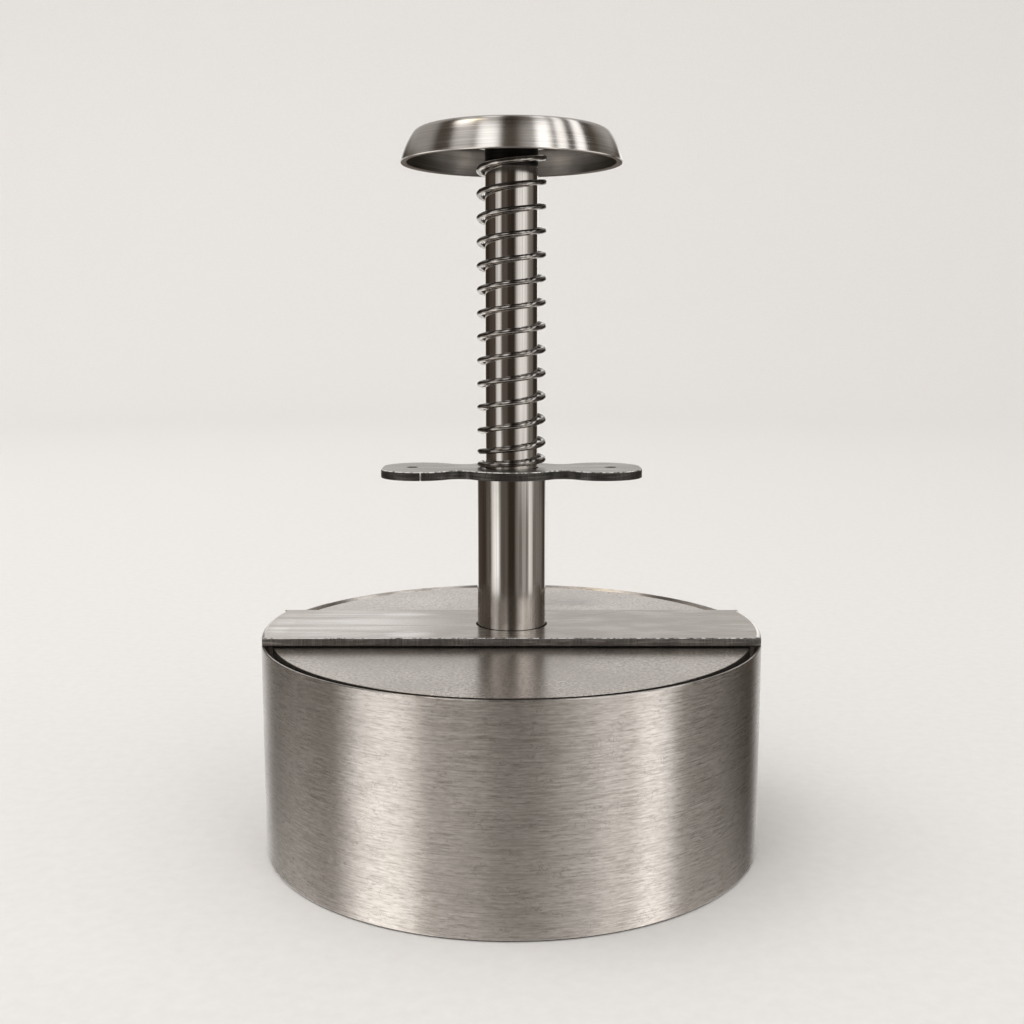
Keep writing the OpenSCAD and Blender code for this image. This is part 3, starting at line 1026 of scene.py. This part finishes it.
def seat_washer():
    """The washer that the spring's upper end bears on."""
    radius, foot, top = round_size("spring_washer")
    easing = 0.2 * MM
    bm = turned(
        [
            (radius, foot, easing),
            (radius, top, 0),
            (ROD_HOLE, top, 0),
            (ROD_HOLE, foot, easing),
        ],
        SMALL_STEPS,
    )
    return place_piece("seat_washer", bm, [WASHER], "spring_seat", "brushed_plate", "spring_washer")


def plunger_bar():
    """The rod, with a blind hole at each end."""
    radius, foot, top = round_size("plunger_rod")
    easing = 0.25 * MM
    screw_hole = SCREW_SHANK + THREAD_GAP
    bm = turned(
        [
            (radius, foot, easing),
            (radius, top, easing),
            (STUD_HOLE, top, 0),
            (STUD_HOLE, top - STUD_HOLE_DEPTH, 0),
            (0, top - STUD_HOLE_DEPTH, 0),
            (0, foot + SCREW_HOLE_DEPTH, 0),
            (screw_hole, foot + SCREW_HOLE_DEPTH, 0),
            (screw_hole, foot, 0),
        ],
        TURNED_STEPS,
    )
    return place_piece("plunger_bar", bm, [POLISH], "plunger", "polished_steel", "plunger_rod")


def press_plate():
    """The disc that presses the patty, with a sunk hole for its screw."""
    radius, foot, top = round_size("press_disc")
    shank = SCREW_SHANK + THREAD_GAP
    head = shank + SCREW_HEAD
    bm = turned(
        [
            (radius, foot, DISC_EASE),
            (radius, top, DISC_EASE),
            (shank, top, 0),
            (shank, foot + SCREW_HEAD, 0),
            (head, foot, 0),
        ],
        RING_STEPS,
    )
    # The disc's side gets the near-black finish: painted shade in the gap between disc and ring.
    for face in bm.faces:
        reach = face.calc_center_median().xy.length
        if reach > radius - DISC_EASE / 2 and abs(face.normal.z) < STEEP_SLOPE:
            face.material_index = EDGE_FACE
    finishes = [SATIN, GAP_SHADE]
    return place_piece("press_plate", bm, finishes, "plunger", "brushed_plate", "press_disc")


def sunk_screw():
    """The countersunk screw, with a hexagon socket."""
    radius, foot, top = round_size("disc_screw")
    easing = 0.25 * MM
    bm = bmesh.new()
    start = bm.verts.new((radius, 0, foot))
    shank = connect(bm, start, (SCREW_SHANK, 0, foot + SCREW_HEAD))
    tip = connect(bm, shank, (SCREW_SHANK, 0, top - easing))
    chamfer = connect(bm, tip, (SCREW_SHANK - easing, 0, top))
    connect(bm, chamfer, (0, 0, top))
    turn_on_lathe(bm, SMALL_STEPS)
    at_foot = Matrix.Translation((0, 0, foot))
    bmesh.ops.create_circle(
        bm, segments=SCREW_SOCKET_SIDES, radius=SCREW_SOCKET, matrix=at_foot
    )
    rims = [e for e in bm.edges if all(abs(v.co.z - foot) < TOUCHING for v in e.verts)]
    socket = [e for e in rims if e.is_wire]
    bmesh.ops.triangle_fill(bm, use_beauty=True, edges=rims)
    walls = bmesh.ops.extrude_edge_only(bm, edges=socket)["geom"]
    deep = only(bmesh.types.BMVert, walls)
    bmesh.ops.translate(bm, verts=deep, vec=(0, 0, SCREW_SOCKET_DEPTH))
    floor_edges = [e for e in bm.edges if e.is_boundary]
    bmesh.ops.contextual_create(bm, geom=floor_edges)
    bmesh.ops.recalc_face_normals(bm, faces=bm.faces[:])
    return place_piece("sunk_screw", bm, [SCREW], "plunger", "screw_steel", "disc_screw")


OUTSIDE = 0
INSIDE = 1
SHOULDER_STEPS = 14
BOW_STEPS = 20
INNER_SHOULDER_STEPS = 8


def dish_knob():
    """The palm knob: flat top, round shoulder, bowed side, flat lip, and back inside."""
    low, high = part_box("knob")
    height = high.z - low.z
    shoulder = KNOB_INNER_ROUND + KNOB_WALL
    lean = KNOB_SHOULDER_LEAN
    bow = (height - shoulder * (1 - math.sin(lean))) / (math.sin(lean) - math.sin(KNOB_LIP_LEAN))
    bow_drop = bow * math.sin(KNOB_LIP_LEAN)
    bow_at = Vector((high.x - bow * math.cos(KNOB_LIP_LEAN), 0, low.z - bow_drop))
    across = Vector((math.cos(lean), 0, math.sin(lean)))
    shoulder_at = bow_at + (bow - shoulder) * across
    inner_bow = bow - KNOB_WALL
    outer_turn = math.asin((bow_drop + KNOB_LIP_EASE) / bow)
    inner_turn = math.asin((bow_drop + KNOB_LIP_EASE) / inner_bow)
    inner_lip = bow_at.x + math.sqrt(inner_bow**2 - bow_drop**2)
    aside = Vector((0, 1, 0))
    bm = bmesh.new()
    crown = bm.verts.new((0, 0, high.z))
    end = connect(bm, crown, (shoulder_at.x, 0, high.z))
    end = sweep(bm, end, shoulder_at, aside, QUARTER_TURN - lean, SHOULDER_STEPS)
    end = sweep(bm, end, bow_at, aside, lean - outer_turn, BOW_STEPS)
    end = connect(bm, end, (high.x - KNOB_LIP_EASE, 0, low.z))
    end = connect(bm, end, (inner_lip + KNOB_LIP_EASE, 0, low.z))
    lip_inside = bow_at + inner_bow * Vector((math.cos(inner_turn), 0, math.sin(inner_turn)))
    end = connect(bm, end, lip_inside)
    end = sweep(bm, end, bow_at, -aside, lean - inner_turn, BOW_STEPS)
    end = sweep(bm, end, shoulder_at, -aside, QUARTER_TURN - lean, INNER_SHOULDER_STEPS)
    connect(bm, end, (0, 0, high.z - KNOB_WALL))
    turn_on_lathe(bm, RING_STEPS)
    # Faces that look inward or down, the hollow and the lip's underside, get the inside finish with
    # its painted shade.
    for face in bm.faces:
        centre = face.calc_center_median()
        outward = face.normal.dot(Vector((centre.x, centre.y, 0)).normalized() + UP)
        face.material_index = OUTSIDE if outward > 0 else INSIDE
    return place_piece("dish_knob", bm, [DISH, HOLLOW], "plunger", "polished_steel", "knob")


def painted_shade_boss():
    """The boss between rod and knob, with the stud's hole, near-black as painted shade under the
    knob.
    """
    radius, foot, top = round_size("knob_boss")
    easing = 0.3 * MM
    bm = turned(
        [
            (radius, foot, easing),
            (radius, top, 0),
            (0, top, 0),
            (0, foot + STUD_IN_BOSS, 0),
            (STUD_HOLE, foot + STUD_IN_BOSS, 0),
            (STUD_HOLE, foot, 0),
        ],
        TURNED_STEPS,
    )
    return place_piece("painted_shade_boss", bm, [BOSS_SHADE], "plunger", "screw_steel", "knob_boss")


mould_band()
bridge_strip()
guide_sleeve()
finger_rest()
return_coil()
seat_washer()
plunger_bar()
press_plate()
sunk_screw()
dish_knob()
painted_shade_boss()

for plain_node, finish in (
    ("lower_bush", ACETAL),
    ("upper_bush", ACETAL),
    ("stop_shim", WASHER),
    ("knob_stud", SCREW),
):
    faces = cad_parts[plain_node].data
    faces.materials.clear()
    faces.materials.append(finish)

# Floor, light and camera.

FLAT_FLOOR = 1.6
COVE_RADIUS = 1.2
COVE_STEPS = 24


def pale_table():
    """A pale floor that rises into a cove all round."""
    finish, tree, shader = start_finish("pale_table", (0.8, 0.79, 0.78), 0.8, metallic=0.0)
    weave = grain(tree, (300, 300, 300), detail=2.0)
    pale = colours(tree, weave, [(0.3, (0.785, 0.774, 0.763)), (0.7, (0.815, 0.806, 0.797))])
    tree.links.new(pale, shader.inputs["Base Color"])
    bm = bmesh.new()
    middle = bm.verts.new(MIDDLE)
    end = connect(bm, middle, (FLAT_FLOOR, 0, 0))
    sweep(bm, end, (FLAT_FLOOR, 0, COVE_RADIUS), (0, -1, 0), QUARTER_TURN, COVE_STEPS)
    turn_on_lathe(bm, SMALL_STEPS)
    mesh = bpy.data.meshes.new("pale_table")
    bm.to_mesh(mesh)
    bm.free()
    mesh.materials.append(finish)
    mesh.polygons.foreach_set("use_smooth", [True] * len(mesh.polygons))
    table = bpy.data.objects.new("pale_table", mesh)
    scene.collection.objects.link(table)
    # The steel mirrors the studio's walls down to the floor, and light comes through the cove.
    table.visible_glossy = False
    table.visible_shadow = False


# Tall soft windows round the room, each at an angle from the front, with a half width and a glow.
# The front stays dark, as behind a photographer. The ring mirrors the foot of the walls, the tube
# their skirting, the rod the walls themselves and the knob their upper part.
FOOT_WINDOWS = (
    (-61, 25, 1.22),
    (-28, 24, 0.16),
    (66, 13, 1.3),
    (46, 9, 0.48),
    (27, 18, 0.04),
    (-126, 36, 0.25),
    (-160, 24, 0.42),
    (158, 18, 0.3),
    (180, 40, 0.75),
)
SKIRTING_WINDOWS = (
    (-55, 20, 1.25),
    (-30, 24, 0.12),
    (-80, 22, 0.1),
    (30, 24, 0.24),
    (50, 18, 0.3),
    (67, 12, 0.95),
    (98, 40, 0.2),
    (-126, 30, 0.04),
    (-162, 18, 0.35),
    (158, 18, 0.3),
    (180, 40, 0.75),
)
WALL_WINDOWS = (
    (-59, 18, 0.95),
    (-34, 24, 0.08),
    (-95, 30, 0.05),
    (48, 37, 1.1),
    (84, 34, 0.2),
    (-166, 12, 0.2),
    (180, 30, 0.9),
)
HIGH_WINDOWS = (
    (-24, 16, 1.5),
    (-51, 17, 0.6),
    (-105, 24, 0.32),
    (33, 11, 1.45),
    (28, 26, 0.4),
    (53, 8, 1.6),
    (75, 9, 1.7),
    (118, 24, 0.15),
)
ROOM_GLOW = 0.045
HIGH_GLOW = 0.09
REAR_HIGH_GLOW = 0.45
FLOOR_GLOW = 1.0
FLOOR_TINT = (1, 0.955, 0.905, 1)
# Warm where the room is dim, nearly white where it is bright.
ROOM_TINTS = (
    (0.03, (1, 0.76, 0.56)),
    (0.2, (1, 0.92, 0.84)),
    (0.6, (1, 0.965, 0.925)),
    (1, (1, 0.985, 0.965)),
)
# Heights, as the upward part of a direction, over which one part of the room fades into the next.
FOOT_TO_SKIRTING = (-0.26, -0.2)
SKIRTING_TO_WALL = (-0.14, -0.06)
WALL_TO_HIGH = (0.22, 0.42)
HIGH_TO_CEILING = (0.86, 0.97)
CEILING_SHARE = 0.35
WALL_TO_FLOOR = (-0.36, -0.54)
FAR_TO_NEAR_FLOOR = (-0.62, -0.85)
NEAR_FLOOR_SHARE = 0.15
TO_FLOOR_TINT = (-0.34, -0.5)
# The same towards the rear, by the frontward part of a direction.
SIDE_TO_REAR = (-0.42, -0.75)
# Round lamps: where they are, the cosines of their edge and heart, their glow and their tint.
ROUND_LAMPS = (
    ((0.37, 0.922, 0.11), 0.986, 0.995, 0.8, (1, 0.98, 0.96, 1)),
    ((-0.457, 0.07, 0.887), 0.982, 0.995, 1.8, (1, 0.96, 0.9, 1)),
    ((-0.351, 0.035, 0.936), 0.99, 0.997, 1.2, (1, 0.84, 0.62, 1)),
)


def windows(tree, azimuth, dark, openings):
    """Sums the soft windows of one storey of the room."""
    glow = dark
    for degrees, half_width, brightness in openings:
        apart = math_node(tree, "SUBTRACT", azimuth, math.radians(degrees))
        near = node(tree, "ShaderNodeMath", {0: apart}, operation="COSINE").outputs["Value"]
        edge = math.cos(math.radians(half_width))
        pane = between(tree, near, edge, 1, 0, brightness, "SMOOTHSTEP")
        glow = math_node(tree, "ADD", pane, glow)
    return glow


def round_lamp(tree, way, lamp_at, edge, heart):
    """One towards a round lamp, nothing away from it, by the cosines of its edge and its heart."""
    towards = node(tree, "ShaderNodeVectorMath", {0: way, 1: lamp_at}, operation="DOT_PRODUCT")
    return between(tree, towards.outputs["Value"], edge, heart, 0, 1, "SMOOTHSTEP")


def studio_walls():
    """The room that the steel mirrors: a dark front between tall soft windows."""
    world = bpy.data.worlds.new("studio")
    scene.world = world
    world.use_nodes = True
    tree = world.node_tree
    way = node(tree, "ShaderNodeTexCoord").outputs["Generated"]
    x_y_z = node(tree, "ShaderNodeSeparateXYZ", {"Vector": way})
    to_front = math_node(tree, "MULTIPLY", x_y_z.outputs["Y"], -1)
    azimuth = math_node(tree, "ARCTAN2", x_y_z.outputs["X"], to_front)
    height = x_y_z.outputs["Z"]
    foot = windows(tree, azimuth, ROOM_GLOW, FOOT_WINDOWS)
    skirting = windows(tree, azimuth, ROOM_GLOW, SKIRTING_WINDOWS)
    walls = windows(tree, azimuth, ROOM_GLOW, WALL_WINDOWS)
    # The upper windows fan out towards the rear, so the knob's side shows them upright.
    fanned = math_node(tree, "ARCTAN2", x_y_z.outputs["X"], math_node(tree, "ADD", to_front, 1))
    high = windows(tree, math_node(tree, "MULTIPLY", fanned, 2), HIGH_GLOW, HIGH_WINDOWS)
    below_ceiling = between(tree, height, *HIGH_TO_CEILING, 1, CEILING_SHARE, "SMOOTHSTEP")
    high = math_node(tree, "MULTIPLY", high, below_ceiling)
    rear = between(tree, to_front, *SIDE_TO_REAR, 0, 1, "SMOOTHSTEP")
    high = blended(tree, rear, high, REAR_HIGH_GLOW)
    glow = foot
    for fade, upper in (
        (FOOT_TO_SKIRTING, skirting),
        (SKIRTING_TO_WALL, walls),
        (WALL_TO_HIGH, high),
    ):
        glow = blended(tree, between(tree, height, *fade, 0, 1, "SMOOTHSTEP"), glow, upper)
    # The floor shows pale at some way off and dark close under the press.
    far_floor = between(tree, height, *WALL_TO_FLOOR, 0, FLOOR_GLOW, "SMOOTHSTEP")
    near_floor = between(tree, height, *FAR_TO_NEAR_FLOOR, 1, NEAR_FLOOR_SHARE, "SMOOTHSTEP")
    glow = math_node(tree, "ADD", glow, math_node(tree, "MULTIPLY", far_floor, near_floor))
    tint = colours(tree, glow, ROOM_TINTS)
    on_floor = between(tree, height, *TO_FLOOR_TINT, 0, 1, "SMOOTHSTEP")
    tint = mixed(tree, on_floor, tint, FLOOR_TINT)
    for lamp_at, edge, heart, lamp_glow, lamp_tint in ROUND_LAMPS:
        lamp = round_lamp(tree, way, lamp_at, edge, heart)
        glow = math_node(tree, "ADD", glow, math_node(tree, "MULTIPLY", lamp, lamp_glow))
        tint = mixed(tree, lamp, tint, lamp_tint)
    light = tree.nodes["Background"]
    tree.links.new(tint, light.inputs["Color"])
    tree.links.new(glow, light.inputs["Strength"])


def soft_box(name, place, target, size, power):
    """A wide soft lamp at a place, turned to a target."""
    lamp = bpy.data.lights.new(name, "AREA")
    lamp.shape = "RECTANGLE"
    lamp.size, lamp.size_y = size
    lamp.energy = power
    made = bpy.data.objects.new(name, lamp)
    made.location = place
    made.rotation_euler = (Vector(target) - Vector(place)).to_track_quat("-Z", "Y").to_euler()
    scene.collection.objects.link(made)
    return made


pale_table()
studio_walls()
for lamp in (
    soft_box("left_key", (-0.7, -0.2, 1.75), (0, 0, 0.05), (2.2, 2.2), 21.0),
    soft_box("backdrop_light", (0, 0.9, 1.6), (0, 2.7, 0.5), (2.4, 0.4), 3.5),
):
    lamp.visible_glossy = False

camera = bpy.data.objects.new("camera", bpy.data.cameras.new("camera"))
camera.data.lens = CAMERA_LENS
camera.data.sensor_width = CAMERA_SENSOR
camera.data.clip_start = CAMERA_NEAR
camera.location = CAMERA_AT
camera.rotation_euler = (QUARTER_TURN - CAMERA_DOWN, 0, 0)
scene.collection.objects.link(camera)
scene.camera = camera
scene.view_settings.view_transform = "Standard"
